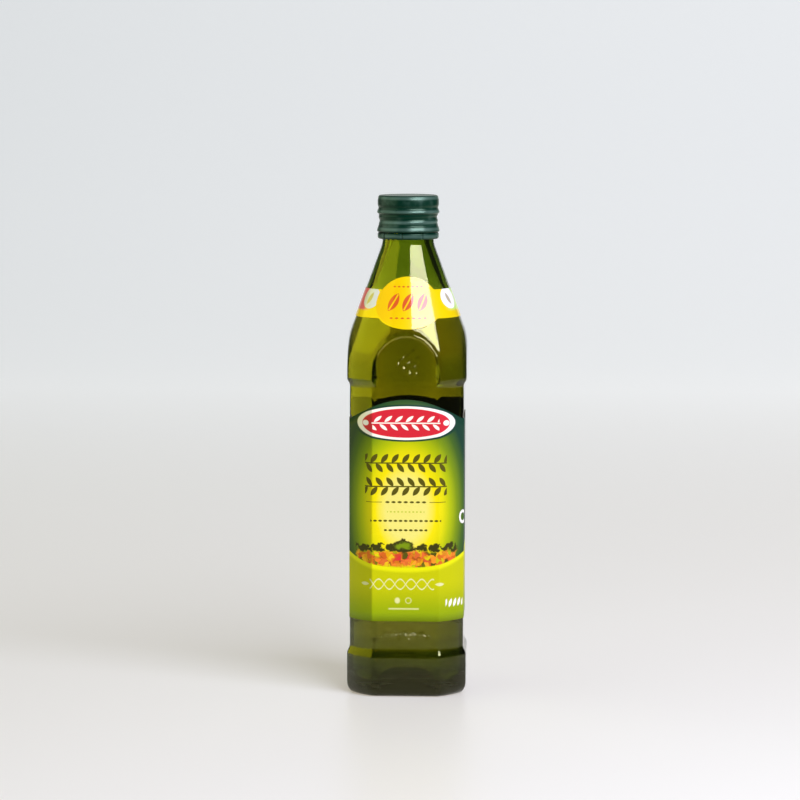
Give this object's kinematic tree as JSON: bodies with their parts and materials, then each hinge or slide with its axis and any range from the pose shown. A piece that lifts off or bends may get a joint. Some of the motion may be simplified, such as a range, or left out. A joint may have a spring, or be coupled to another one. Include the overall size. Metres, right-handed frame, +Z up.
{
  "type": "olive oil bottle",
  "caption": "Closed green glass bottle of cooking oil: square-sided round body with a recessed wrap label, conical shoulder with a neck sticker, and a screw cap over a tamper band.",
  "frame": {"origin": "centre of the underside, on the plane that the bottle stands on", "axes": "+Z up along the bottle's axis; the front of the label faces -Y; +X is to the right as seen from the front"},
  "size_m": [0.0612, 0.0612, 0.2554],
  "materials": {
    "green_glass": "clear green bottle glass, polished",
    "oil": "clear yellow-green oil",
    "cap_metal": "dark green satin lacquer on thin rolled metal",
    "label_paper": "printed film, green at the edges and yellow in the middle, semi-gloss",
    "sticker_paper": "printed yellow film, semi-gloss"
  },
  "bodies": {
    "root": {"bottle_glass": "green_glass", "olive_oil": "oil", "screw_cap": "cap_metal", "tamper_band": "cap_metal", "wrap_label": "label_paper", "neck_label": "sticker_paper"}
  },
  "joints": []
}
